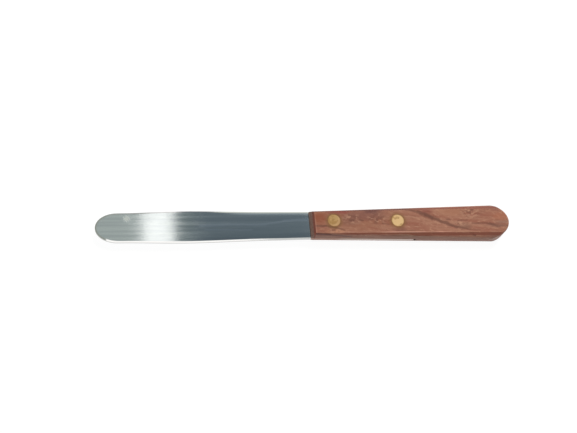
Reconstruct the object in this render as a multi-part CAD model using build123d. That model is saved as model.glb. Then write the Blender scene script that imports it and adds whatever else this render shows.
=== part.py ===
from build123d import *
from math import cos, radians, tan
import os

# A small lab spatula: a springy steel blade with a round tip, in a bevelled hardwood
# handle. The blade's tang fills a sawn slot in the handle, flush with its sides, and two
# brass cutler's rivets, each a male and a female half pressed together, hold it there.
# It lies on the lower flat of the handle. X runs along it with the tip at -X, Y across
# it, Z up, and the origin is under the middle of its length. Sizes are in millimetres.

# Blade, with distances measured from the front end of the handle
blade_length = 101.6
blade_thickness = 1.2
blade_root_width = 14.0
blade_waist_width = 14.3
blade_waist_distance = 17.0
blade_widest_width = 15.9
blade_widest_distance = 60.0
blade_shoulder_width = 14.6
blade_tip_round_length = 10.2
blade_bevel_width = 0.7
blade_bevel_drop = 0.2

# Handle, with its flats and sides measured at the front end and where the butt starts
handle_length = 100.6
handle_thickness = 8.5
handle_front_width = 13.5
handle_butt_width = 18.1
handle_butt_round_length = 12.3
handle_flat_front_width = 10.8
handle_flat_butt_width = 12.5
handle_bevel_slope = 0.65
handle_bevel_ease = 1.0
handle_side_lean = 18.0
handle_side_round = 6.0
handle_flat_ease = 0.4
handle_front_slope_length = 1.9
handle_front_slope_height = 2.6
handle_butt_ease = 1.2

# Tang, and the slot that a round saw leaves for it
tang_length = 51.0
slot_end_clearance = 1.5
saw_radius = 75.0

# Rivets, set a little off the handle's centre line
front_rivet_distance = 11.3
rear_rivet_end_distance = 7.95
front_rivet_offset = 0.9
rear_rivet_offset = 0.5
rivet_head_diameter = 6.3
rivet_head_thickness = 1.5
rivet_head_ease = 0.15
rivet_tube_diameter = 4.0
rivet_pin_diameter = 2.8
rivet_closing_gap = 0.3
rivet_wood_clearance = 0.1
rivet_tang_clearance = 0.15

# Places that follow from the sizes
handle_front = (blade_length - handle_length) / 2
handle_end = handle_front + handle_length
blade_tip = handle_front - blade_length
butt_start = handle_end - handle_butt_round_length
middle_height = handle_thickness / 2
tang_bottom = middle_height - blade_thickness / 2


def tapered(front_size, butt_size, x):
    """A size of the handle that grows evenly from its front end to the start of the butt."""
    share = (x - handle_front) / (butt_start - handle_front)
    return front_size + (butt_size - front_size) * share


def side_at(x):
    """Half the handle's width at x, which the tang's edges share."""
    return tapered(handle_front_width, handle_butt_width, x) / 2


def ridge_at(x):
    """Where the two leaning faces of one side would meet at x, if nothing rounded them."""
    return side_at(x) + handle_side_round * (1 / cos(radians(handle_side_lean)) - 1)


def flat_at(x):
    """Half the width of the handle's upper and lower flats at x."""
    return tapered(handle_flat_front_width, handle_flat_butt_width, x) / 2


def rivet_places():
    """The axis of each rivet, by name."""
    tang_end = handle_front + tang_length
    return {
        "rivet_front": (handle_front + front_rivet_distance, front_rivet_offset),
        "rivet_rear": (tang_end - rear_rivet_end_distance, rear_rivet_offset),
    }


def blade_outline():
    """The exposed blade seen from above, narrow at the waist and round at the tip."""
    shoulder = blade_tip + blade_tip_round_length
    tip_round = EllipticalCenterArc(
        (shoulder, 0), blade_tip_round_length, blade_shoulder_width / 2,
        start_angle=90, arc_size=180,
    )
    far_side = Spline(
        (shoulder, blade_shoulder_width / 2),
        (handle_front - blade_widest_distance, blade_widest_width / 2),
        (handle_front - blade_waist_distance, blade_waist_width / 2),
        (handle_front, blade_root_width / 2),
        tangents=[(1, 0)] * 4,
    )
    near_side = far_side.mirror(Plane.XZ)
    root = Line(far_side @ 1, near_side @ 1)
    return make_face([tip_round, far_side, root, near_side])


def taper_outline(half_width_at, start, end):
    """A tapering outline seen from above, from one place along the handle to another."""
    return make_face(Polyline(
        (start, -half_width_at(start)),
        (end, -half_width_at(end)),
        (end, half_width_at(end)),
        (start, half_width_at(start)),
        close=True,
    ))


def make_blade():
    """The blade and its tang, one strip of steel, bevelled around the exposed edge."""
    blade = extrude(blade_outline(), blade_thickness)
    for flat in (blade.faces().sort_by(Axis.Z)[0], blade.faces().sort_by(Axis.Z)[-1]):
        rim = flat.edges().filter_by(lambda edge: edge.center().X < handle_front - blade_bevel_width)
        blade = chamfer(rim, blade_bevel_width, blade_bevel_drop, reference=flat)
    tang = taper_outline(side_at, handle_front, handle_front + tang_length)
    blade += extrude(tang, blade_thickness)
    blade = Pos(0, 0, tang_bottom) * blade
    for x, y in rivet_places().values():
        hole = Cylinder(rivet_tube_diameter / 2 + rivet_tang_clearance, handle_thickness)
        blade -= Pos(x, y, middle_height) * hole
    return blade


def planed_face(corner, far_corner, outward, across, up):
    """The plane of a face planed along the handle; across and up, 1 or -1, pick its quarter."""
    corner = Vector(corner[0], across * corner[1], middle_height + up * corner[2])
    far_corner = Vector(far_corner[0], across * far_corner[1], middle_height + up * far_corner[2])
    along = far_corner - corner
    outward = Vector(0, across * outward[0], up * outward[1])
    return Plane(origin=corner, x_dir=along, z_dir=along.cross(outward) * across * up)


def bevel_plane(across, up):
    """The plane of a bevel, which runs down from the edge of a flat."""
    return planed_face(
        (handle_front, flat_at(handle_front), handle_thickness / 2),
        (butt_start, flat_at(butt_start), handle_thickness / 2),
        (1, -handle_bevel_slope), across, up,
    )


def side_plane(across, up):
    """The plane of half a side, which leans in from the ridge at middle height."""
    return planed_face(
        (handle_front, ridge_at(handle_front), 0),
        (butt_start, ridge_at(butt_start), 0),
        (tan(radians(handle_side_lean)), -1), across, up,
    )


def long_edges(bar):
    """The edges that run all along the bar, from its middle plane outwards to its sides."""
    edges = bar.edges().filter_by(lambda edge: edge.length > handle_length)
    return edges.sort_by(lambda edge: abs(edge.center().Y))


def bevelled_bar():
    """A tapering bar with planed bevels and sides, which overruns the handle at both ends."""
    start = handle_front - handle_butt_ease
    end = handle_end + handle_butt_ease
    bar = extrude(taper_outline(ridge_at, start, end), handle_thickness)
    for across in (-1, 1):
        for up in (-1, 1):
            bar = split(bar, bisect_by=side_plane(across, up), keep=Keep.BOTTOM)
            bar = split(bar, bisect_by=bevel_plane(across, up), keep=Keep.BOTTOM)
    bar = fillet(long_edges(bar)[-2:], handle_side_round)
    bar = fillet(long_edges(bar)[4:8], handle_bevel_ease)
    return fillet(long_edges(bar)[:4], handle_flat_ease)


def round_ended_block():
    """A block as wide as the butt, with the handle's round butt and its sloped front."""
    side = handle_butt_width / 2
    butt = EllipticalCenterArc(
        (butt_start, 0), handle_butt_round_length, side,
        start_angle=-90, arc_size=180,
    )
    sides = Polyline(butt @ 1, (handle_front, side), (handle_front, -side), butt @ 0)
    block = extrude(make_face([butt, sides]), handle_thickness)
    front = block.faces().sort_by(Axis.X)[0]
    block = chamfer(
        front.edges().filter_by(Axis.Y), handle_front_slope_height, handle_front_slope_length,
        reference=front,
    )
    butt_rims = block.edges().filter_by(GeomType.ELLIPSE)
    return fillet(butt_rims, handle_butt_ease)


def slot():
    """The space that a round saw, run in from the front, leaves for the tang."""
    depth = handle_front + tang_length + slot_end_clearance
    reach = handle_butt_width
    corner = depth - saw_radius + (saw_radius ** 2 - reach ** 2) ** 0.5
    mouth = handle_front - slot_end_clearance
    saw_end = ThreePointArc((corner, -reach), (depth, 0), (corner, reach))
    sides = Polyline(saw_end @ 1, (mouth, reach), (mouth, -reach), saw_end @ 0)
    return Pos(0, 0, tang_bottom) * extrude(make_face([saw_end, sides]), blade_thickness)


def rivet_hole(x, y):
    """The stepped hole that seats both halves of a rivet in the wood."""
    head = Cylinder(rivet_head_diameter / 2, rivet_head_thickness)
    low = rivet_head_thickness / 2
    high = handle_thickness - rivet_head_thickness / 2
    shank = Cylinder(rivet_tube_diameter / 2 + rivet_wood_clearance, handle_thickness)
    hole = Pos(0, 0, middle_height) * shank
    hole += Pos(0, 0, low) * head
    hole += Pos(0, 0, high) * head
    return Pos(x, y, 0) * hole


def make_handle():
    """The wooden handle: planed bevels, a round butt, a sawn slot and rivet holes."""
    handle = bevelled_bar() & round_ended_block()
    handle -= slot()
    for x, y in rivet_places().values():
        handle -= rivet_hole(x, y)
    return handle


def rivet_head():
    """A flat rivet head with its rim eased, lying face down at height zero."""
    head = Cylinder(rivet_head_diameter / 2, rivet_head_thickness)
    head = Pos(0, 0, rivet_head_thickness / 2) * head
    rim = head.edges().sort_by(Axis.Z)[0]
    return fillet(rim, rivet_head_ease)


def shank_length():
    """The length of each half's shank, short of the other half's head."""
    return handle_thickness - 2 * rivet_head_thickness - rivet_closing_gap


def make_rivet_female(x, y):
    """The lower rivet half: a flush head on a tube, which the pin is pressed into."""
    tube = Cylinder(rivet_tube_diameter / 2, shank_length())
    tube -= Cylinder(rivet_pin_diameter / 2, shank_length())
    rivet = rivet_head() + Pos(0, 0, rivet_head_thickness + shank_length() / 2) * tube
    return Pos(x, y, 0) * rivet


def make_rivet_male(x, y):
    """The upper rivet half: a flush head on a solid pin, turned over to face up."""
    pin = Cylinder(rivet_pin_diameter / 2, shank_length())
    rivet = rivet_head() + Pos(0, 0, rivet_head_thickness + shank_length() / 2) * pin
    return Pos(x, y, handle_thickness) * Rot(180, 0, 0) * rivet


def build():
    """Make every piece and write each one to its own file."""
    pieces = {"blade": make_blade(), "handle": make_handle()}
    for name, (x, y) in rivet_places().items():
        pieces[name + "_male"] = make_rivet_male(x, y)
        pieces[name + "_female"] = make_rivet_female(x, y)
    os.makedirs("parts", exist_ok=True)
    for name, piece in pieces.items():
        export_step(piece, "parts/" + name + ".step")
        print(name, "volume", round(piece.volume, 1))


build()
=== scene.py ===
"""Looks of a small lab spatula: ground steel blade, oiled hardwood handle and brass rivets."""

import logging
from dataclasses import dataclass, field
from enum import Enum
from typing import Union

import bmesh
import bpy
from mathutils import Matrix, Vector


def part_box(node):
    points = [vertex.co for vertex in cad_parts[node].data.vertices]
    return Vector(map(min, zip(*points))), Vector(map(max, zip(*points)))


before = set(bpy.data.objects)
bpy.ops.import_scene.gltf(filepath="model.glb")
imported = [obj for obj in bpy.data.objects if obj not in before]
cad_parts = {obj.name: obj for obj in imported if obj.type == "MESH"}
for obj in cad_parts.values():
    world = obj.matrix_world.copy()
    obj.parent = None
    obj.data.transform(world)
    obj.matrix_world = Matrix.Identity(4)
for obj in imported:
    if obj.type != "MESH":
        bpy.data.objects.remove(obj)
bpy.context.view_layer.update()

logging.basicConfig(level=logging.INFO, format="%(message)s")
log = logging.getLogger("spatula")

MM = 0.001
NOISE_MIDDLE = 0.5
WHITE = (1.0, 1.0, 1.0, 1.0)

# The share of a band's reach over which it is full
BAND_FULL_SHARE = 0.3

# The numbers of a Mix node's sockets when it mixes colours
MIX_INPUTS = (0, 6, 7)
MIX_OUTPUT = 2

Socket = bpy.types.NodeSocket
Value = Union[float, tuple, Socket]
Colour = tuple[float, float, float, float]
Point = tuple[float, float, float]

# Where a change starts and ends, then its levels there where they aren't 0 and 1
Change = tuple[float, ...]


class RivetPlace(Enum):
    """The two rivets, by where they go through the handle."""

    FRONT = "rivet_front"
    REAR = "rivet_rear"


class Half(Enum):
    """The two halves of a cutler's rivet."""

    MALE = "_male"
    FEMALE = "_female"


def srgb(red: int, green: int, blue: int) -> Colour:
    """Turn a colour of 0 to 255 as a screen shows it into the linear colour of a shader.

    Args:
        red: Red level.
        green: Green level.
        blue: Blue level.

    Returns:
        Linear red, green, blue and an alpha of 1.
    """
    levels = [level / 255 for level in (red, green, blue)]
    linear = [v / 12.92 if v <= 0.04045 else ((v + 0.055) / 1.055) ** 2.4 for v in levels]
    return (*linear, 1.0)


class Graph:
    """A node tree, with short calls for the nodes that the finishes use."""

    def __init__(self, tree: bpy.types.NodeTree) -> None:
        """Take a tree to add nodes to."""
        self.tree = tree

    def add(self, kind: str, inputs: dict | None = None, **settings: object) -> bpy.types.Node:
        """Add one node.

        Args:
            kind: The node's type name.
            inputs: Values or sockets by input name or number.
            settings: The node's own properties.

        Returns:
            The new node.
        """
        node = self.tree.nodes.new(kind)
        for name, value in settings.items():
            setattr(node, name, value)
        for name, value in (inputs or {}).items():
            self.feed(node.inputs[name], value)
        return node

    def feed(self, socket: Socket, value: Value) -> None:
        """Link a socket's value into an input, or set the input to a plain value.

        Args:
            socket: The input.
            value: A number, a tuple or another node's output socket.
        """
        if isinstance(value, bpy.types.NodeSocket):
            self.tree.links.new(value, socket)
        else:
            socket.default_value = value

    def math(self, operation: str, *values: Value) -> Socket:
        """Work out one number from others."""
        inputs = dict(enumerate(values))
        return self.add("ShaderNodeMath", inputs, operation=operation).outputs[0]

    def product(self, *values: Value) -> Socket:
        """Multiply two or more numbers.

        Args:
            values: The numbers.

        Returns:
            Their product.
        """
        total = values[0]
        for value in values[1:]:
            total = self.math("MULTIPLY", total, value)
        return total

    def vector(self, operation: str, *values: Value) -> Socket:
        """Work out one vector from others."""
        inputs = dict(enumerate(values))
        return self.add("ShaderNodeVectorMath", inputs, operation=operation).outputs[0]

    def scaled(self, vector: Value, factor: Value) -> Socket:
        """Scale a vector by one factor."""
        inputs = {0: vector, "Scale": factor}
        return self.add("ShaderNodeVectorMath", inputs, operation="SCALE").outputs[0]

    def dot(self, first: Value, second: Value) -> Socket:
        """Work out the dot product of two vectors."""
        node = self.add("ShaderNodeVectorMath", {0: first, 1: second}, operation="DOT_PRODUCT")
        return node.outputs["Value"]

    def length(self, vector: Value) -> Socket:
        """Work out a vector's length."""
        node = self.add("ShaderNodeVectorMath", {0: vector}, operation="LENGTH")
        return node.outputs["Value"]

    def fade(self, value: Value, start: Value, end: Value, low: float = 0.0, high: float = 1.0) -> Socket:
        """Go smoothly from low, where value is start, to high, where it is end.

        Args:
            value: The number that the change follows.
            start: Where the change starts.
            end: Where it ends, on either side of the start.
            low: The level at the start.
            high: The level at the end.

        Returns:
            The level.
        """
        inputs = {"Value": value, "From Min": start, "From Max": end, "To Min": low, "To Max": high}
        node = self.add("ShaderNodeMapRange", inputs, interpolation_type="SMOOTHSTEP", clamp=True)
        return node.outputs["Result"]

    def band(self, value: Value, middle: float, reach: float) -> Socket:
        """A soft band that is 1 where value is middle and 0 beyond its reach."""
        away = self.math("ABSOLUTE", self.math("SUBTRACT", value, middle))
        return self.fade(away, reach, reach * BAND_FULL_SHARE)

    def noise(self, place: Value, size: float, detail: float = 2.0) -> bpy.types.Node:
        """Soft random levels and colours around a half, in lumps of about a size."""
        inputs = {"Vector": place, "Scale": 1 / size, "Detail": detail}
        return self.add("ShaderNodeTexNoise", inputs)

    def blend(self, share: Value, first: Value, second: Value) -> Socket:
        """Mix two colours.

        Args:
            share: The share of the second colour.
            first: The first colour.
            second: The second colour.

        Returns:
            The mixed colour.
        """
        node = self.add("ShaderNodeMix", data_type="RGBA", blend_type="MIX")
        for number, value in zip(MIX_INPUTS, (share, first, second)):
            self.feed(node.inputs[number], value)
        return node.outputs[MIX_OUTPUT]

    def parts(self, vector: Value) -> tuple[Socket, Socket, Socket]:
        """Split a vector into X, Y and Z."""
        node = self.add("ShaderNodeSeparateXYZ", {0: vector})
        return node.outputs[0], node.outputs[1], node.outputs[2]

    def together(self, x: Value, y: Value, z: Value) -> Socket:
        """Join X, Y and Z into a vector."""
        return self.add("ShaderNodeCombineXYZ", {0: x, 1: y, 2: z}).outputs[0]

    def place(self) -> Socket:
        """The surface point in the spatula's own frame, in millimetres."""
        point = self.add("ShaderNodeTexCoord").outputs["Object"]
        return self.scaled(point, 1 / MM)

    def group(self, name: str, inputs: dict) -> Socket:
        """Place a shared effect with its own values.

        Args:
            name: The effect's group.
            inputs: Values or sockets by the group's input names.

        Returns:
            The effect's output.
        """
        node = self.add("ShaderNodeGroup", node_tree=bpy.data.node_groups[name])
        for socket, value in inputs.items():
            self.feed(node.inputs[socket], value)
        return node.outputs[0]


def new_group(name: str, inputs: dict[str, str], output: str) -> tuple[Graph, dict[str, Socket], Socket]:
    """Start a shader node group that puts out one level.

    Args:
        name: The group's name.
        inputs: Short socket types by input name.
        output: The output's name.

    Returns:
        The group's graph, its inner input sockets by name, and its inner output socket.
    """
    tree = bpy.data.node_groups.new(name, "ShaderNodeTree")
    for label, kind in inputs.items():
        tree.interface.new_socket(label, in_out="INPUT", socket_type="NodeSocket" + kind)
    tree.interface.new_socket(output, in_out="OUTPUT", socket_type="NodeSocketFloat")
    graph = Graph(tree)
    given = graph.add("NodeGroupInput").outputs
    wanted = graph.add("NodeGroupOutput").inputs
    return graph, {label: given[label] for label in inputs}, wanted[output]


def build_fibres_group() -> None:
    """Long random strokes along one direction: wood fibres, brushing and grinding marks."""
    inputs = {"Place": "Vector", "Length": "Float", "Width": "Float", "Turn": "Float", "Detail": "Float"}
    graph, given, wanted = new_group("fibres", inputs, "Level")
    turned = graph.add(
        "ShaderNodeVectorRotate",
        {"Vector": given["Place"], "Angle": given["Turn"]},
        rotation_type="Z_AXIS",
    ).outputs[0]
    along = graph.math("DIVIDE", 1.0, given["Length"])
    across = graph.math("DIVIDE", 1.0, given["Width"])
    stretched = graph.vector("MULTIPLY", turned, graph.together(along, across, across))
    fine_share = 0.6
    inputs = {"Vector": stretched, "Scale": 1.0, "Detail": given["Detail"], "Roughness": fine_share}
    strokes = graph.add("ShaderNodeTexNoise", inputs)
    graph.feed(wanted, strokes.outputs["Fac"])


def drifted(graph: Graph, place: Value, reach: Value) -> Socket:
    """Push a place about by soft noise, so that what is drawn there wanders.

    Args:
        graph: The graph to add to.
        place: The place in millimetres.
        reach: How far it may wander, in millimetres.

    Returns:
        The place after the push.
    """
    lump_size, detail = 2.9, 3.0
    drift = graph.noise(place, lump_size, detail).outputs["Color"]
    drift = graph.vector("SUBTRACT", drift, (NOISE_MIDDLE,) * 3)
    return graph.vector("ADD", place, graph.scaled(drift, reach))


def build_line_group() -> None:
    """A soft, slightly wandering line from one point to another."""
    inputs = {"Place": "Vector", "From": "Vector", "To": "Vector", "Width": "Float", "Wander": "Float"}
    graph, given, wanted = new_group("line", inputs, "Mask")
    place = drifted(graph, given["Place"], given["Wander"])
    run = graph.vector("SUBTRACT", given["To"], given["From"])
    offset = graph.vector("SUBTRACT", place, given["From"])
    share = graph.math("DIVIDE", graph.dot(offset, run), graph.dot(run, run))
    share = graph.add("ShaderNodeClamp", {0: share}).outputs[0]
    distance = graph.length(graph.vector("SUBTRACT", offset, graph.scaled(run, share)))
    inside = graph.math("SUBTRACT", 1.0, graph.math("DIVIDE", distance, given["Width"]))
    full_inside = 0.8
    graph.feed(wanted, graph.fade(inside, 0.0, full_inside))


def build_blot_group() -> None:
    """A soft patch of its own length and width, with an uneven rim."""
    inputs = {"Place": "Vector", "Middle": "Vector", "Reach": "Vector", "Wander": "Float"}
    graph, given, wanted = new_group("blot", inputs, "Mask")
    place = drifted(graph, given["Place"], given["Wander"])
    offset = graph.vector("DIVIDE", graph.vector("SUBTRACT", place, given["Middle"]), given["Reach"])
    rim, full_within = 1.0, 0.25
    graph.feed(wanted, graph.fade(graph.length(offset), rim, full_within))


def build_patches_group() -> None:
    """Scattered blotches: handling marks on steel, tarnish on brass and flecks in wood."""
    inputs = {"Place": "Vector", "Size": "Float", "Share": "Float"}
    graph, given, wanted = new_group("patches", inputs, "Mask")
    scale = graph.math("DIVIDE", 1.0, given["Size"])
    noise = graph.add("ShaderNodeTexNoise", {"Vector": given["Place"], "Scale": scale, "Detail": 4.0})
    bare = graph.math("SUBTRACT", 1.0, given["Share"])
    lowest, spread, softness = 0.35, 0.3, 0.06
    threshold = graph.math("MULTIPLY_ADD", bare, spread, lowest)
    level = graph.math("SUBTRACT", noise.outputs["Fac"], threshold)
    graph.feed(wanted, graph.fade(level, -softness, softness))


def new_material(name: str) -> tuple[bpy.types.Material, Graph, bpy.types.Node]:
    """Start a material whose shader is a Principled BSDF.

    Args:
        name: The material's name.

    Returns:
        The material, its graph and its shader node.
    """
    material = bpy.data.materials.new(name)
    material.use_nodes = True
    graph = Graph(material.node_tree)
    return material, graph, material.node_tree.nodes["Principled BSDF"]


@dataclass(frozen=True)
class Streak:
    """One streak between two points of the spatula, in millimetres."""

    start: Point
    end: Point
    width: float
    depth: float
    wander: float = 1.0

    def mask(self, graph: Graph, place: Socket) -> Socket:
        """Draw where the streak shows, and how strongly.

        Args:
            graph: The material's graph.
            place: The surface point in millimetres.

        Returns:
            The mask.
        """
        line = graph.group("line", {
            "Place": place, "From": self.start, "To": self.end,
            "Width": self.width, "Wander": self.wander,
        })
        return graph.product(line, self.depth)


@dataclass(frozen=True)
class Blot:
    """One soft patch of colour, with its middle and reach in millimetres."""

    middle: Point
    reach: Point
    colour: Colour
    depth: float
    wander: float = 2.4

    def over(self, graph: Graph, place: Socket, colour: Socket) -> Socket:
        """Lay the patch over a colour.

        Args:
            graph: The material's graph.
            place: The surface point in millimetres.
            colour: The colour below.

        Returns:
            The colour with the patch.
        """
        mask = graph.group("blot", {
            "Place": place, "Middle": self.middle, "Reach": self.reach, "Wander": self.wander,
        })
        return graph.blend(graph.product(mask, self.depth), colour, self.colour)


def all_streaks(graph: Graph, place: Socket, streaks: tuple[Streak, ...]) -> Socket:
    """Draw several streaks together.

    Args:
        graph: The material's graph.
        place: The surface point in millimetres.
        streaks: The streaks.

    Returns:
        One mask, as strong as the strongest streak.
    """
    total = streaks[0].mask(graph, place)
    for streak in streaks[1:]:
        total = graph.math("MAXIMUM", total, streak.mask(graph, place))
    return total


@dataclass(frozen=True)
class GroundSteel:
    """Spring steel, brushed lengthwise, with a polished edge and a mark near its tip, painted reflection
    streaks, a bright band by the far edge that is partly ground and partly painted reflection, and painted
    darker reflection towards the near side.
    """

    colour: Colour = srgb(197, 202, 201)
    dulled: Colour = srgb(186, 191, 192)
    # Darker colour painted as shade, for a darker reflection towards the near side
    near_shade: Colour = srgb(150, 158, 160)
    streak_reflection: Colour = srgb(224, 227, 230)
    edge: Colour = srgb(206, 206, 204)
    tang_stain: Colour = srgb(188, 170, 160)
    tang_rust: Colour = srgb(156, 116, 98)
    roughness: float = 0.065
    roughness_spread: float = 0.015
    brush_length: float = 40.0
    brush_width: float = 0.3
    brush_depth: float = 0.003
    wave_length: float = 80.0
    wave_width: float = 1.2
    wave_depth: float = 0.004
    mark: Colour = srgb(214, 218, 212)
    mark_middle: Point = (-86.5, 4.4, 4.85)
    mark_reach: Point = (1.9, 1.9, 1.0)
    handle_front: float = 0.5
    # Near-white colour of the far-edge band: ground steel with a painted reflection
    rubbed_highlight: Colour = srgb(250, 250, 246)
    widest_place: float = -59.5
    widest_half_width: float = 7.95
    waist_place: float = -16.5
    waist_half_width: float = 7.15
    rubbed_highlight_inset: Change = (2.0, 1.1)
    rubbed_highlight_along: Change = (-43.0, -31.0)
    wave_tint: Change = (0.35, 0.65)
    wave_shine: Change = (0.25, 0.75)
    bevel_steepness: Change = (0.992, 0.985)
    tang_edge_steepness: Change = (0.6, 0.4)
    rust_along: Change = (19.0, 12.0)
    shade_across: Change = (2.0, -8.0)
    shade_along: Change = (-62.0, -40.0)
    shade_depth: float = 0.6
    smudge_size: float = 14.0
    smudge_share: float = 0.4
    smudge_depth: float = 0.25
    smudge_roughness: float = 0.02
    mark_wander: float = 0.5
    mark_roughness: float = 0.4
    tang_roughness: float = 0.2
    # Pale streaks painted as reflections of ripples in the steel
    reflection_streaks: tuple[Streak, ...] = (
        Streak((-52.0, 0.4, 4.85), (-38.0, 1.0, 4.85), 1.2, 0.42, 0.7),
        Streak((-40.0, 0.9, 4.85), (-21.0, 0.6, 4.85), 0.9, 0.42, 0.7),
        Streak((-22.0, 0.9, 4.85), (-10.0, 2.6, 4.85), 0.8, 0.48, 0.7),
        Streak((-12.0, 2.5, 4.85), (0.0, 3.0, 4.85), 1.0, 0.6, 0.7),
        Streak((-50.0, -1.6, 4.85), (-28.0, -2.0, 4.85), 0.6, 0.3, 0.7),
    )

    def rubbed_highlight_edge(self, graph: Graph, x: Socket, y: Socket) -> Socket:
        """Find the bright band on the flat beside the far bevel, towards the handle, which is ground
        brighter and painted brighter still as a reflection.

        Args:
            graph: The material's graph.
            x: The surface point's X in millimetres.
            y: Its Y in millimetres.

        Returns:
            The mask.
        """
        half_width = graph.fade(
            x, self.widest_place, self.waist_place, self.widest_half_width, self.waist_half_width,
        )
        inset = graph.math("SUBTRACT", half_width, y)
        return graph.product(graph.fade(inset, *self.rubbed_highlight_inset), graph.fade(x, *self.rubbed_highlight_along))

    def material(self) -> bpy.types.Material:
        """Build the material.

        Returns:
            The material.
        """
        material, graph, shader = new_material("ground_steel")
        place = graph.place()
        x, y, _ = graph.parts(place)
        brushing = graph.group("fibres", {
            "Place": place, "Length": self.brush_length, "Width": self.brush_width, "Detail": 3.0,
        })
        waves = graph.group("fibres", {
            "Place": place, "Length": self.wave_length, "Width": self.wave_width, "Detail": 1.0,
        })
        steepness = graph.parts(graph.add("ShaderNodeNewGeometry").outputs["True Normal"])[2]
        steepness = graph.math("ABSOLUTE", steepness)
        bevel = graph.fade(steepness, *self.bevel_steepness)
        tang_edge = graph.fade(steepness, *self.tang_edge_steepness)
        tang_edge = graph.product(tang_edge, graph.fade(x, 0.0, self.handle_front))
        mark = graph.group("blot", {
            "Place": place, "Middle": self.mark_middle, "Reach": self.mark_reach, "Wander": self.mark_wander,
        })
        smudges = graph.group("patches", {
            "Place": place, "Size": self.smudge_size, "Share": self.smudge_share,
        })
        colour = graph.blend(graph.fade(waves, *self.wave_tint), self.dulled, self.colour)
        colour = graph.blend(graph.product(smudges, self.smudge_depth), colour, self.dulled)
        # Painted shade: the steel darkens towards the near side, from the middle of the blade to the tang
        near = graph.product(
            graph.fade(y, *self.shade_across), graph.fade(x, *self.shade_along), self.shade_depth,
        )
        colour = graph.blend(near, colour, self.near_shade)
        # Painted reflection: pale streaks where ripples in the steel would catch a bright reflection
        colour = graph.blend(all_streaks(graph, place, self.reflection_streaks), colour, self.streak_reflection)
        # Painted reflection, partly grinding: a near-white band on the flat by the far edge
        colour = graph.blend(self.rubbed_highlight_edge(graph, x, y), colour, self.rubbed_highlight)
        colour = graph.blend(bevel, colour, self.edge)
        stained = graph.blend(graph.fade(x, *self.rust_along), self.tang_stain, self.tang_rust)
        colour = graph.blend(tang_edge, colour, stained)
        colour = graph.blend(mark, colour, self.mark)
        graph.feed(shader.inputs["Base Color"], colour)
        smoothest = self.roughness - self.roughness_spread
        roughest = self.roughness + self.roughness_spread
        roughness = graph.fade(waves, *self.wave_shine, smoothest, roughest)
        roughness = graph.math("MULTIPLY_ADD", smudges, self.smudge_roughness, roughness)
        roughness = graph.math("MULTIPLY_ADD", mark, self.mark_roughness, roughness)
        roughness = graph.math("MULTIPLY_ADD", tang_edge, self.tang_roughness, roughness)
        graph.feed(shader.inputs["Roughness"], roughness)
        shader.inputs["Metallic"].default_value = 1.0
        height = graph.product(brushing, self.brush_depth)
        height = graph.math("MULTIPLY_ADD", waves, self.wave_depth, height)
        bump = graph.add("ShaderNodeBump", {"Strength": 1.0, "Distance": MM, "Height": height})
        graph.feed(shader.inputs["Normal"], bump.outputs[0])
        return material


@dataclass(frozen=True)
class HandleForm:
    """The handle's sizes that its finish follows, in millimetres."""

    front: float = 0.5
    butt_start: float = 88.8
    flat_front_width: float = 10.8
    flat_butt_width: float = 12.5
    middle_height: float = 4.25
    front_slope: float = 1.9
    slot_half_height: float = 0.6
    slot_end: float = 53.0

    def past_crease(self, graph: Graph, x: Socket, y: Socket) -> Socket:
        """Measure how far a point lies beyond the crease beside the flat, towards a side.

        Args:
            graph: The material's graph.
            x: The point's X in millimetres.
            y: Its Y in millimetres.

        Returns:
            The distance in millimetres, below zero on the flat.
        """
        growth = (self.flat_butt_width - self.flat_front_width) / 2 / (self.butt_start - self.front)
        crease = graph.math("MULTIPLY_ADD", x, growth, self.flat_front_width / 2)
        return graph.math("SUBTRACT", graph.math("ABSOLUTE", y), crease)

    def from_middle(self, graph: Graph, z: Socket) -> Socket:
        """How far a point lies above or below the handle's middle plane."""
        return graph.math("ABSOLUTE", graph.math("SUBTRACT", z, self.middle_height))


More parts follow.
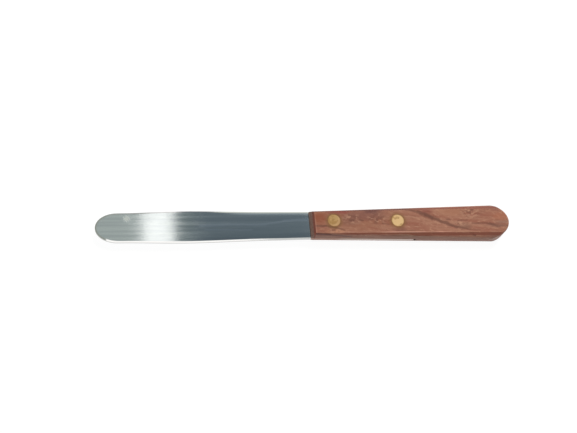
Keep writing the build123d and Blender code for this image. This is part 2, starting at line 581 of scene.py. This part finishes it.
@dataclass(frozen=True)
class OiledHardwood:
    """Red-brown hardwood with long fibres, dark figure and pores, painted shade below and along the creases,
    worn creases with a painted highlight, and a painted sheen on the sides.
    """

    form: HandleForm = HandleForm()
    main: Colour = srgb(162, 112, 88)
    pale: Colour = srgb(187, 139, 111)
    ruddy: Colour = srgb(145, 89, 68)
    dark: Colour = srgb(112, 68, 52)
    deep: Colour = srgb(78, 38, 27)
    maroon: Colour = srgb(124, 59, 36)
    floor_sheen: Colour = srgb(152, 112, 97)
    # Pale colour of worn wood, also used as a painted highlight
    worn_highlight: Colour = srgb(206, 150, 130)
    # End grain colour, darkened as painted shade
    shaded_end_grain: Colour = srgb(128, 96, 82)
    rivet_stain: Colour = srgb(122, 84, 42)
    # Near-black painted shade for the slot
    slot_shade: Colour = srgb(34, 20, 16)
    roughness: float = 0.5
    streaks: tuple[Streak, ...] = (
        Streak((47.0, 6.7, 8.3), (54.4, 4.9, 8.5), 1.0, 0.55, 1.6),
        Streak((54.4, 4.9, 8.5), (57.8, 3.3, 8.5), 1.6, 0.58, 1.6),
        Streak((57.8, 3.3, 8.5), (61.1, 1.7, 8.5), 1.9, 0.70, 1.6),
        Streak((61.1, 1.7, 8.5), (68.8, -1.5, 8.5), 1.4, 0.60, 1.6),
        Streak((68.8, -1.5, 8.5), (73.5, -3.4, 8.5), 1.2, 0.62, 1.6),
        Streak((73.5, -3.4, 8.5), (78.5, -4.7, 8.5), 0.9, 0.40, 1.6),
        Streak((78.5, -4.8, 8.5), (85.0, -5.0, 8.5), 0.6, 0.30),
        Streak((81.5, -1.5, 8.5), (90.5, -1.4, 8.5), 0.8, 0.38),
        Streak((89.0, -1.4, 8.5), (94.0, -3.0, 8.5), 1.0, 0.45),
        Streak((94.0, -3.0, 8.5), (99.5, -2.9, 8.5), 0.8, 0.35),
        Streak((2.6, -1.9, 8.5), (8.0, -1.9, 8.5), 0.8, 0.60, 0.8),
        Streak((8.8, -2.1, 8.5), (12.6, -2.8, 8.5), 1.0, 0.65, 0.8),
        Streak((12.6, -2.9, 8.5), (16.5, -4.2, 8.5), 0.7, 0.50, 0.8),
        Streak((19.5, 0.9, 8.5), (21.5, 0.5, 8.5), 0.7, 0.45),
        Streak((24.6, 1.1, 8.5), (26.0, 0.7, 8.5), 0.7, 0.45),
        Streak((35.5, -1.0, 8.5), (39.0, -1.4, 8.5), 0.5, 0.40),
        Streak((74.0, 0.1, 8.5), (79.0, 0.4, 8.5), 0.5, 0.40),
        Streak((68.6, 0.6, 8.5), (70.2, 0.5, 8.5), 0.8, 0.40),
        # These two streaks along the near bevel are painted shade below the crease, not figure
        Streak((2.0, -5.8, 8.2), (9.5, -6.2, 7.7), 1.0, 0.90, 0.6),
        Streak((9.5, -6.2, 7.7), (20.0, -6.9, 6.4), 0.8, 0.75, 0.6),
        Streak((79.5, -6.5, 8.3), (81.5, -6.6, 8.2), 0.45, 0.95, 0.3),
        Streak((81.2, -7.3, 7.8), (82.4, -7.4, 7.7), 0.6, 0.95, 0.3),
        Streak((30.0, -2.4, 0.0), (52.0, 3.0, 0.0), 1.2, 0.55),
        Streak((58.0, -4.0, 0.0), (88.0, -1.5, 0.0), 0.9, 0.50),
        Streak((25.0, 7.0, 6.5), (60.0, 8.0, 5.0), 0.8, 0.45),
    )
    blots: tuple[Blot, ...] = (
        Blot((25.0, 1.5, 8.5), (27.0, 9.0, 5.0), srgb(134, 80, 52), 0.45),
        Blot((5.0, 2.4, 8.5), (5.5, 5.0, 4.0), srgb(134, 68, 38), 0.75),
        Blot((14.5, 5.3, 8.5), (9.0, 1.7, 3.0), srgb(134, 62, 54), 0.75),
        Blot((31.0, 5.8, 8.5), (6.0, 2.6, 3.0), srgb(84, 48, 42), 0.90),
        Blot((20.0, 1.0, 8.5), (7.5, 4.5, 4.0), srgb(128, 84, 68), 0.55),
        Blot((28.0, 3.6, 8.5), (14.0, 4.2, 4.0), srgb(116, 70, 62), 0.60),
        Blot((44.0, -4.2, 8.5), (5.0, 2.2, 3.0), srgb(118, 68, 54), 0.65),
        Blot((12.5, -4.6, 8.5), (7.0, 1.6, 3.0), srgb(196, 138, 104), 0.55),
        Blot((58.5, 5.4, 8.5), (5.5, 2.2, 3.0), srgb(128, 66, 54), 0.60),
        Blot((71.0, 5.0, 8.5), (12.0, 4.0, 4.0), srgb(166, 114, 86), 0.60),
        Blot((97.0, 2.0, 8.5), (7.0, 3.0, 3.5), srgb(168, 104, 74), 0.5),
        Blot((98.0, -0.9, 8.5), (6.0, 1.3, 3.0), srgb(142, 108, 90), 0.50),
        Blot((77.0, -3.0, 8.5), (5.5, 2.6, 3.0), srgb(108, 76, 60), 0.50),
        Blot((93.5, -2.4, 8.5), (8.0, 1.5, 3.0), srgb(116, 80, 66), 0.45),
        Blot((95.5, 7.2, 7.5), (9.0, 2.8, 4.0), srgb(122, 76, 66), 0.65),
        Blot((94.0, -7.4, 6.0), (9.0, 2.6, 4.0), srgb(120, 92, 80), 0.55),
        Blot((50.0, -6.8, 7.0), (16.0, 3.0, 6.0), srgb(116, 92, 66), 0.35),
        Blot((70.0, 2.0, 0.0), (22.0, 5.0, 4.0), srgb(140, 86, 66), 0.50),
    )
    fleck_areas: tuple[tuple[Point, Point], ...] = (
        ((81.5, 4.8, 8.5), (7.5, 5.0, 4.0)),
        ((75.5, -1.4, 8.5), (5.5, 2.0, 3.0)),
        ((20.5, 1.5, 8.5), (7.0, 4.0, 3.0)),
        ((33.0, 1.5, 8.5), (7.0, 4.0, 3.0)),
        ((11.0, -4.2, 8.5), (5.0, 1.8, 3.0)),
    )
    fleck_wander: float = 2.0
    fleck_size: float = 1.3
    fleck_stretch: Point = (0.6, 1.0, 1.0)
    pale_fleck_shift: Point = (31.0, 17.0, 5.0)
    dark_fleck_depth: float = 0.65
    pale_fleck_depth: float = 0.6
    sway_stretch: Point = (0.3, 1.0, 1.0)
    sway_size: float = 12.0
    sway_reach: float = 9.0
    main_band: Change = (0.32, 0.62)
    pale_mottle: Change = (0.52, 0.72, 0.0, 0.6)
    ruddy_mottle: Change = (0.44, 0.28, 0.0, 0.55)
    pale_fibre: Change = (0.52, 0.78, 0.0, 0.5)
    dark_fibre: Change = (0.46, 0.24, 0.0, 0.6)
    open_pore: Change = (0.35, 0.27)
    pore_tint: float = 0.6
    pore_depth: float = 0.6
    uneven_stretch: Point = (0.25, 1.0, 1.0)
    uneven_size: float = 2.0
    crease_height: Change = (4.0, 4.2)
    # Painted shade in a band just past each crease
    shade_start: Change = (-0.05, 0.2)
    shade_end: Change = (0.15, -0.15)
    shade_width: Change = (46.0, 54.0, 0.35, 0.95)
    shade_unevenness: float = 0.8
    shade_along: Change = (9.0, 20.0, 0.25, 0.8)
    # Painted shade along the far crease
    far_shade_start: Change = (-0.3, 0.4)
    far_shade_side: Change = (4.0, 5.0)
    far_shade_along: Change = (60.0, 44.0, 0.15, 0.75)
    far_shade_breaks: Change = (0.3, 0.6, 0.6, 1.0)
    # Painted sheen that greys the sides
    sheen_height: Change = (3.4, 2.0)
    sheen_breaks: Change = (0.3, 0.6, 0.35, 0.7)
    # Worn wood with a painted highlight just past the near crease
    rubbed_highlight_middle: float = -0.3
    rubbed_highlight_reach: float = 0.35
    rubbed_highlight_breaks: Change = (0.38, 0.6)
    rubbed_highlight_start: Change = (10.0, 20.0)
    rubbed_highlight_gain: Change = (30.0, 40.0, 0.45, 1.0)
    rubbed_highlight_end: Change = (74.0, 62.0, 0.1, 1.0)
    rubbed_highlight_side: Change = (1.0, -1.0, 0.1, 0.75)
    vessel_stretch: Point = (0.4, 1.0, 1.0)
    vessel_size: float = 0.45
    dark_vessel: Change = (0.45, 0.3, 0.0, 0.6)
    rim_side: Change = (4.5, 0.0, 0.05, 0.25)
    slot_sideways: Change = (0.6, 0.4)
    ring_wander: float = 1.2
    ring_drop: float = 0.3
    ring_reach: float = 2.0
    ring_depth: float = 0.65
    grain_strength: float = 0.5
    grain_height: float = 0.05

    def ground(self, graph: Graph, place: Socket) -> tuple[Socket, Socket]:
        """The plain wood: bands, fibres, mottling and pores.

        Args:
            graph: The material's graph.
            place: The surface point in millimetres.

        Returns:
            The colour, and the height of the surface as a level.
        """
        slow = graph.vector("MULTIPLY", place, self.sway_stretch)
        sway = graph.math("SUBTRACT", graph.noise(slow, self.sway_size).outputs["Fac"], NOISE_MIDDLE)
        sway = graph.product(sway, self.sway_reach)
        swayed = graph.vector("ADD", place, graph.together(0.0, sway, sway))
        bands = graph.group("fibres", {
            "Place": swayed, "Length": 34.0, "Width": 3.0, "Turn": 0.12, "Detail": 3.0,
        })
        fibres = graph.group("fibres", {
            "Place": swayed, "Length": 9.0, "Width": 0.5, "Turn": 0.08, "Detail": 5.0,
        })
        mottles = graph.group("fibres", {
            "Place": place, "Length": 3.4, "Width": 1.4, "Turn": 0.25, "Detail": 3.0,
        })
        pores = graph.group("fibres", {
            "Place": swayed, "Length": 2.2, "Width": 0.24, "Turn": 0.05, "Detail": 1.0,
        })
        colour = graph.blend(graph.fade(bands, *self.main_band), self.ruddy, self.main)
        colour = graph.blend(graph.fade(mottles, *self.pale_mottle), colour, self.pale)
        colour = graph.blend(graph.fade(mottles, *self.ruddy_mottle), colour, self.ruddy)
        colour = graph.blend(graph.fade(fibres, *self.pale_fibre), colour, self.pale)
        colour = graph.blend(graph.fade(fibres, *self.dark_fibre), colour, self.dark)
        pore = graph.fade(pores, *self.open_pore)
        colour = graph.blend(graph.product(pore, self.pore_tint), colour, self.deep)
        height = graph.math("MULTIPLY_ADD", pore, -self.pore_depth, fibres)
        return colour, height

    def flecks(self, graph: Graph, place: Socket, colour: Socket) -> Socket:
        """Lay small dark and pale flecks over a colour, in the few areas that have them.

        Args:
            graph: The material's graph.
            place: The surface point in millimetres.
            colour: The colour below.

        Returns:
            The colour with the flecks.
        """
        where: Value = 0.0
        for middle, reach in self.fleck_areas:
            area = graph.group("blot", {
                "Place": place, "Middle": middle, "Reach": reach, "Wander": self.fleck_wander,
            })
            where = graph.math("MAXIMUM", where, area)
        longish = graph.vector("MULTIPLY", place, self.fleck_stretch)
        beside = graph.vector("ADD", longish, self.pale_fleck_shift)
        dark = graph.group("patches", {"Place": longish, "Size": self.fleck_size, "Share": 0.5})
        pale = graph.group("patches", {"Place": beside, "Size": self.fleck_size, "Share": 0.42})
        colour = graph.blend(graph.product(where, dark, self.dark_fleck_depth), colour, self.dark)
        return graph.blend(graph.product(where, pale, self.pale_fleck_depth), colour, self.pale)

    def creases(self, graph: Graph, place: Socket, colour: Socket) -> Socket:
        """Lay painted shade below the planed creases and along the far crease, worn wood with a painted
        highlight along the near crease, and a painted sheen that greys the sides below them.

        Args:
            graph: The material's graph.
            place: The surface point in millimetres.
            colour: The colour below.

        Returns:
            The colour with the painted shade, highlight and sheen.
        """
        x, y, z = graph.parts(place)
        form = self.form
        beyond = form.past_crease(graph, x, y)
        height = form.from_middle(graph, z)
        longish = graph.vector("MULTIPLY", place, self.uneven_stretch)
        uneven = graph.noise(longish, self.uneven_size, detail=3.0).outputs["Fac"]
        # Painted shade: a dark maroon band on the bevels just below the creases, widening towards the butt
        width = graph.fade(x, *self.shade_width)
        reach = graph.math("MULTIPLY_ADD", uneven, self.shade_unevenness, width)
        crease_shade = graph.product(
            graph.fade(beyond, *self.shade_start),
            graph.fade(graph.math("SUBTRACT", beyond, reach), *self.shade_end),
            graph.fade(x, *self.shade_along),
        )
        colour = graph.blend(crease_shade, colour, self.maroon)
        # Painted shade: a broken dark line along the far crease, strongest towards the front
        far_shade = graph.product(
            graph.fade(beyond, *self.far_shade_start),
            graph.fade(y, *self.far_shade_side),
            graph.fade(x, *self.far_shade_along),
            graph.fade(uneven, *self.far_shade_breaks),
        )
        colour = graph.blend(far_shade, colour, self.deep)
        # Painted reflection: the sides near the middle plane are greyed as a sheen of the white floor
        side = graph.product(
            graph.fade(height, *self.sheen_height), graph.fade(uneven, *self.sheen_breaks),
        )
        colour = graph.blend(side, colour, self.floor_sheen)
        # Worn wood with a painted highlight: a pale line just past the crease, mostly on the near side and
        # along the middle of the handle
        rubbed_highlight = graph.product(
            graph.band(beyond, self.rubbed_highlight_middle, self.rubbed_highlight_reach),
            graph.fade(height, *self.crease_height),
            graph.fade(uneven, *self.rubbed_highlight_breaks),
            graph.fade(x, *self.rubbed_highlight_start),
            graph.fade(x, *self.rubbed_highlight_gain),
            graph.fade(x, *self.rubbed_highlight_end),
            graph.fade(y, *self.rubbed_highlight_side),
        )
        return graph.blend(rubbed_highlight, colour, self.worn_highlight)

    def front_end(self, graph: Graph, place: Socket, colour: Socket) -> Socket:
        """Lay dark end grain over the sloped front, darkened further by painted shade, with a faint worn rim
        painted as a highlight along its top.

        Args:
            graph: The material's graph.
            place: The surface point in millimetres.
            colour: The colour below.

        Returns:
            The colour with its front end.
        """
        x, y, z = graph.parts(place)
        height = self.form.from_middle(graph, z)
        rim = self.form.front + self.form.front_slope
        finer = graph.vector("MULTIPLY", place, self.vessel_stretch)
        vessels = graph.noise(finer, self.vessel_size).outputs["Fac"]
        # End grain, made darker by painted shade where the front faces away from the lamp
        shaded_end_grain = graph.blend(graph.fade(x, rim - 1.1, rim - 0.5), self.shaded_end_grain, self.maroon)
        shaded_end_grain = graph.blend(graph.fade(vessels, *self.dark_vessel), shaded_end_grain, self.deep)
        colour = graph.blend(graph.fade(x, rim + 0.1, rim - 0.15), colour, shaded_end_grain)
        # Worn rim with a painted highlight, stronger towards the near side
        line = graph.product(
            graph.band(x, rim + 0.25, 0.35),
            graph.fade(height, *self.crease_height),
            graph.fade(y, *self.rim_side),
        )
        return graph.blend(line, colour, self.worn_highlight)

    def slot(self, graph: Graph, place: Socket, colour: Socket) -> Socket:
        """Paint shade into the sawn slot, which shows past the end of the tang.

        Args:
            graph: The material's graph.
            place: The surface point in millimetres.
            colour: The colour below.

        Returns:
            The colour with the slot darkened.
        """
        x, _, z = graph.parts(place)
        height = self.form.from_middle(graph, z)
        sideways = graph.parts(graph.add("ShaderNodeNewGeometry").outputs["True Normal"])[1]
        # Painted shade: the slot's inside is painted nearly black
        inside = graph.product(
            graph.fade(x, self.form.slot_end + 0.6, self.form.slot_end + 0.3),
            graph.fade(height, self.form.slot_half_height + 0.05, self.form.slot_half_height + 0.02),
            graph.fade(graph.math("ABSOLUTE", sideways), *self.slot_sideways),
        )
        return graph.blend(inside, colour, self.slot_shade)

    def rivet_rings(self, graph: Graph, place: Socket, rivets: dict[RivetPlace, Point]) -> Socket:
        """Draw where brass has stained the wood around each rivet.

        Args:
            graph: The material's graph.
            place: The surface point in millimetres.
            rivets: Each rivet's x, y and head radius in millimetres.

        Returns:
            One mask for all of them.
        """
        flat = drifted(graph, graph.vector("MULTIPLY", place, (1, 1, 0)), self.ring_wander)
        total: Value = 0.0
        for x, y, radius in rivets.values():
            distance = graph.length(graph.vector("SUBTRACT", flat, (x, y - self.ring_drop, 0)))
            ring = graph.fade(distance, radius + self.ring_reach, radius)
            total = graph.math("MAXIMUM", total, ring)
        return total

    def material(self, rivets: dict[RivetPlace, Point]) -> bpy.types.Material:
        """Build the material.

        Args:
            rivets: Each rivet's x, y and head radius in millimetres.

        Returns:
            The material.
        """
        material, graph, shader = new_material("oiled_hardwood")
        place = graph.place()
        colour, height = self.ground(graph, place)
        for blot in self.blots:
            colour = blot.over(graph, place, colour)
        colour = self.flecks(graph, place, colour)
        colour = graph.blend(all_streaks(graph, place, self.streaks), colour, self.deep)
        colour = self.creases(graph, place, colour)
        stain = graph.product(self.rivet_rings(graph, place, rivets), self.ring_depth)
        colour = graph.blend(stain, colour, self.rivet_stain)
        colour = self.front_end(graph, place, colour)
        colour = self.slot(graph, place, colour)
        graph.feed(shader.inputs["Base Color"], colour)
        roughness = graph.fade(height, 0.2, 0.7, self.roughness + 0.1, self.roughness - 0.06)
        graph.feed(shader.inputs["Roughness"], roughness)
        relief = {"Strength": self.grain_strength, "Distance": self.grain_height * MM, "Height": height}
        graph.feed(shader.inputs["Normal"], graph.add("ShaderNodeBump", relief).outputs[0])
        return material


@dataclass(frozen=True)
class WornBrass:
    """Brass ground flush with the wood, scratched and a little tarnished."""

    colour: Colour = srgb(232, 194, 140)
    tarnish: Colour = srgb(176, 134, 84)
    tarnished: float = 0.4
    worn_side: Colour = srgb(226, 184, 140)
    worn_depth: float = 0.0
    worn_ring: Change = (0.86, 1.02)
    tarnish_size: float = 2.4
    tarnish_depth: float = 0.7
    tarnish_roughness: float = 0.1
    rim_start: float = 0.84
    rim_depth: float = 0.8
    roughness: float = 0.36
    roughness_spread: float = 0.06
    mark_levels: Change = (0.3, 0.7)
    mark_strength: float = 0.4
    mark_height: float = 0.01

    def material(self, name: str, middle: Point) -> bpy.types.Material:
        """Build the material.

        Args:
            name: The material's name.
            middle: The rivet's x, y and head radius in millimetres.

        Returns:
            The material.
        """
        material, graph, shader = new_material(name)
        place = graph.place()
        marks = graph.group("fibres", {
            "Place": place, "Length": 3.0, "Width": 0.12, "Turn": 0.5, "Detail": 3.0,
        })
        dull = graph.group("patches", {"Place": place, "Size": self.tarnish_size, "Share": self.tarnished})
        x, y, radius = middle
        flat = graph.vector("MULTIPLY", place, (1, 1, 0))
        distance = graph.length(graph.vector("SUBTRACT", flat, (x, y, 0)))
        rim = graph.fade(distance, radius * self.rim_start, radius)
        colour = graph.blend(graph.product(dull, self.tarnish_depth), self.colour, self.tarnish)
        beside = graph.length(graph.vector("SUBTRACT", flat, (x - radius * 0.3, y + radius * 0.25, 0)))
        worn_highlight = graph.fade(beside, *(radius * share for share in self.worn_ring))
        colour = graph.blend(graph.product(worn_highlight, self.worn_depth), colour, self.worn_side)
        colour = graph.blend(graph.product(rim, self.rim_depth), colour, self.tarnish)
        graph.feed(shader.inputs["Base Color"], colour)
        smoothest = self.roughness - self.roughness_spread
        roughest = self.roughness + self.roughness_spread
        roughness = graph.fade(marks, *self.mark_levels, smoothest, roughest)
        roughness = graph.math("MULTIPLY_ADD", dull, self.tarnish_roughness, roughness)
        graph.feed(shader.inputs["Roughness"], roughness)
        shader.inputs["Metallic"].default_value = 1.0
        relief = {"Strength": self.mark_strength, "Distance": self.mark_height * MM, "Height": marks}
        graph.feed(shader.inputs["Normal"], graph.add("ShaderNodeBump", relief).outputs[0])
        return material


def dress(node: str, material: bpy.types.Material) -> None:
    """Give a CAD node its finish.

    Args:
        node: The node's name.
        material: Its material.
    """
    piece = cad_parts[node]
    piece.data.materials.clear()
    piece.data.materials.append(material)
    log.info("%s: dressed in %s", node, material.name)


@dataclass
class Blade:
    """The steel strip, blade and tang in one."""

    finish: GroundSteel = GroundSteel()

    def build(self) -> None:
        """Dress the blade."""
        dress("blade", self.finish.material())


@dataclass
class Rivets:
    """The two cutler's rivets, each of a male and a female half."""

    # The front rivet's darker brass and heavier tarnish are partly tarnish and partly painted shade, for the
    # darker reflection it shows; its lighter crescent is worn brass painted as a highlight
    front: WornBrass = WornBrass(colour=srgb(205, 166, 112), tarnished=0.45, worn_depth=0.5)
    rear: WornBrass = WornBrass(tarnished=0.12)

    def places(self) -> dict[RivetPlace, Point]:
        """Find where the rivets are.

        Returns:
            Each rivet's x, y and head radius in millimetres.
        """
        found = {}
        for rivet in RivetPlace:
            low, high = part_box(rivet.value + Half.MALE.value)
            middle = (low + high) / 2 / MM
            found[rivet] = (middle.x, middle.y, (high.x - low.x) / 2 / MM)
        return found

    def build(self) -> None:
        """Dress both halves of both rivets."""
        finishes = {RivetPlace.FRONT: self.front, RivetPlace.REAR: self.rear}
        for rivet, middle in self.places().items():
            material = finishes[rivet].material(rivet.value + "_brass", middle)
            for half in Half:
                dress(rivet.value + half.value, material)


@dataclass
class Handle:
    """The bevelled hardwood handle."""

    finish: OiledHardwood = OiledHardwood()

    def build(self, rivets: Rivets) -> None:
        """Dress the handle, with its stains around the rivets."""
        dress("handle", self.finish.material(rivets.places()))


@dataclass(frozen=True)
class Card:
    """A flat reflector overhead that only glossy reflections show, with its ends along X and Y."""

    left: float
    right: float
    near: float
    far: float
    colour: tuple[float, float, float]


@dataclass
class Studio:
    """The camera, floor, lamp and reflector cards around the spatula."""

    lens: float = 68.63
    sensor_width: float = 36.0
    nearest: float = 0.01
    farthest: float = 20.0
    camera_place: Point = (-0.115965, -0.19530, 0.480986)
    camera_yaw: float = -0.220
    camera_pitch: float = 0.389
    camera_roll: float = -0.095688
    floor_radius: float = 2.5
    floor_sides: int = 96
    floor_paint: Colour = (0.92, 0.92, 0.92, 1.0)
    floor_shadow: float = 0.15
    floor_white: float = 1.1
    room_light: float = 0.33
    key_power: float = 14.0
    key_place: Point = (0.35, 0.75, 0.95)
    key_size: float = 0.7
    card_height: float = 0.8
    cards: dict[str, Card] = field(default_factory=lambda: {
        "shade_card": Card(-0.90, -0.22, -0.30, 1.40, (0.42, 0.46, 0.42)),
        "grey_card": Card(-0.22, -0.018, 0.12, 0.62, (0.57, 0.62, 0.60)),
        "bright_card": Card(-0.018, 0.021, 0.12, 0.62, (1.86, 1.83, 1.80)),
        "dusk_card": Card(0.021, 0.045, 0.12, 0.62, (0.26, 0.31, 0.32)),
        "dark_card": Card(0.045, 0.212, 0.12, 0.62, (0.19, 0.235, 0.27)),
        "edge_card": Card(-0.22, 0.13, -0.35, 0.0, (1.6, 1.58, 1.58)),
        "root_edge_card": Card(0.13, 0.50, -0.35, 0.0, (0.88, 0.90, 0.90)),
        "far_grey_card": Card(-0.22, 0.013, 0.62, 1.40, (0.50, 0.54, 0.52)),
        "far_bright_card": Card(0.013, 0.075, 0.62, 1.40, (1.2, 1.2, 1.2)),
        "far_dark_card": Card(0.075, 0.164, 0.62, 1.40, (0.16, 0.19, 0.22)),
        "far_pale_card": Card(0.164, 0.40, 0.62, 1.40, (0.85, 0.90, 0.84)),
    })

    def camera(self) -> None:
        """Set the camera where the photograph was taken from."""
        data = bpy.data.cameras.new("camera")
        data.sensor_width = self.sensor_width
        data.lens = self.lens
        data.clip_start = self.nearest
        data.clip_end = self.farthest
        camera = bpy.data.objects.new("camera", data)
        bpy.context.scene.collection.objects.link(camera)
        turn = Matrix.Rotation(self.camera_yaw, 4, "Y")
        turn = turn @ Matrix.Rotation(self.camera_pitch, 4, "X")
        turn = turn @ Matrix.Rotation(self.camera_roll, 4, "Z")
        camera.matrix_world = Matrix.Translation(self.camera_place) @ turn
        bpy.context.scene.camera = camera

    def shown_white(self, graph: Graph) -> Socket:
        """Tell the rays that show the background, to the camera or in metal, from the rest.

        Args:
            graph: The graph of a material or of the world.

        Returns:
            1 for the rays that show it, and 0 for those that light the object.
        """
        rays = graph.add("ShaderNodeLightPath").outputs
        shown = graph.math("MAXIMUM", rays["Is Camera Ray"], rays["Is Glossy Ray"])
        return graph.math("MAXIMUM", shown, rays["Is Transmission Ray"])

    def world(self) -> None:
        """Light the room softly, and show it white to the camera and in reflections."""
        world = bpy.data.worlds.new("room")
        world.use_nodes = True
        bpy.context.scene.world = world
        graph = Graph(world.node_tree)
        strength = graph.fade(self.shown_white(graph), 0.0, 1.0, self.room_light, 1.0)
        background = world.node_tree.nodes["Background"]
        background.inputs["Color"].default_value = WHITE
        graph.feed(background.inputs["Strength"], strength)

    def floor(self) -> None:
        """Lay a white floor that keeps a faint shadow."""
        mesh = bpy.data.meshes.new("floor")
        shape = bmesh.new()
        bmesh.ops.create_circle(
            shape, cap_ends=True, radius=self.floor_radius, segments=self.floor_sides,
        )
        shape.to_mesh(mesh)
        shape.free()
        floor = bpy.data.objects.new("floor", mesh)
        bpy.context.scene.collection.objects.link(floor)
        material = bpy.data.materials.new("floor_white")
        material.use_nodes = True
        graph = Graph(material.node_tree)
        material.node_tree.nodes.remove(material.node_tree.nodes["Principled BSDF"])
        paint = graph.add("ShaderNodeBsdfDiffuse", {"Color": self.floor_paint})
        glow = graph.add("ShaderNodeEmission", {"Color": WHITE, "Strength": self.floor_white})
        share = graph.product(self.shown_white(graph), 1 - self.floor_shadow)
        both = graph.add("ShaderNodeMixShader", {0: share, 1: paint.outputs[0], 2: glow.outputs[0]})
        output = material.node_tree.nodes["Material Output"]
        graph.feed(output.inputs["Surface"], both.outputs[0])
        mesh.materials.append(material)

    def lamp(self) -> None:
        """Hang one large soft lamp beyond the far side."""
        data = bpy.data.lights.new("key", "AREA")
        data.energy = self.key_power
        data.shape = "SQUARE"
        data.size = self.key_size
        lamp = bpy.data.objects.new("key", data)
        bpy.context.scene.collection.objects.link(lamp)
        place = Vector(self.key_place)
        lamp.matrix_world = Matrix.Translation(place) @ place.to_track_quat("Z", "Y").to_matrix().to_4x4()
        lamp.visible_glossy = False

    def hang(self, name: str, card: Card) -> None:
        """Hang a reflector card overhead.

        Args:
            name: The card's name.
            card: Its ends and its colour.
        """
        mesh = bpy.data.meshes.new(name)
        shape = bmesh.new()
        size = Matrix.Diagonal((card.right - card.left, card.far - card.near, 1.0, 1.0))
        middle = ((card.left + card.right) / 2, (card.near + card.far) / 2, self.card_height)
        place = Matrix.Translation(middle) @ size
        bmesh.ops.create_grid(shape, x_segments=1, y_segments=1, size=0.5, matrix=place)
        shape.to_mesh(mesh)
        shape.free()
        panel = bpy.data.objects.new(name, mesh)
        bpy.context.scene.collection.objects.link(panel)
        material = bpy.data.materials.new(name)
        material.use_nodes = True
        graph = Graph(material.node_tree)
        material.node_tree.nodes.remove(material.node_tree.nodes["Principled BSDF"])
        glow = graph.add("ShaderNodeEmission", {"Color": (*card.colour, 1.0), "Strength": 1.0})
        output = material.node_tree.nodes["Material Output"]
        graph.feed(output.inputs["Surface"], glow.outputs[0])
        mesh.materials.append(material)
        panel.visible_camera = False
        panel.visible_diffuse = False
        panel.visible_shadow = False
        panel.visible_transmission = False

    def build(self) -> None:
        """Set up the whole studio."""
        bpy.context.scene.view_settings.view_transform = "Standard"
        self.camera()
        self.world()
        self.floor()
        self.lamp()
        for name, card in self.cards.items():
            self.hang(name, card)
        log.info("studio: camera, floor, lamp and %d cards", len(self.cards))


def write_sizes() -> None:
    """Update the view layer."""
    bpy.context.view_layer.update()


def main() -> None:
    """Build the studio and dress every piece."""
    Studio().build()
    build_fibres_group()
    build_line_group()
    build_blot_group()
    build_patches_group()
    Blade().build()
    rivets = Rivets()
    rivets.build()
    Handle().build(rivets)
    write_sizes()


if __name__ == "__main__":
    main()
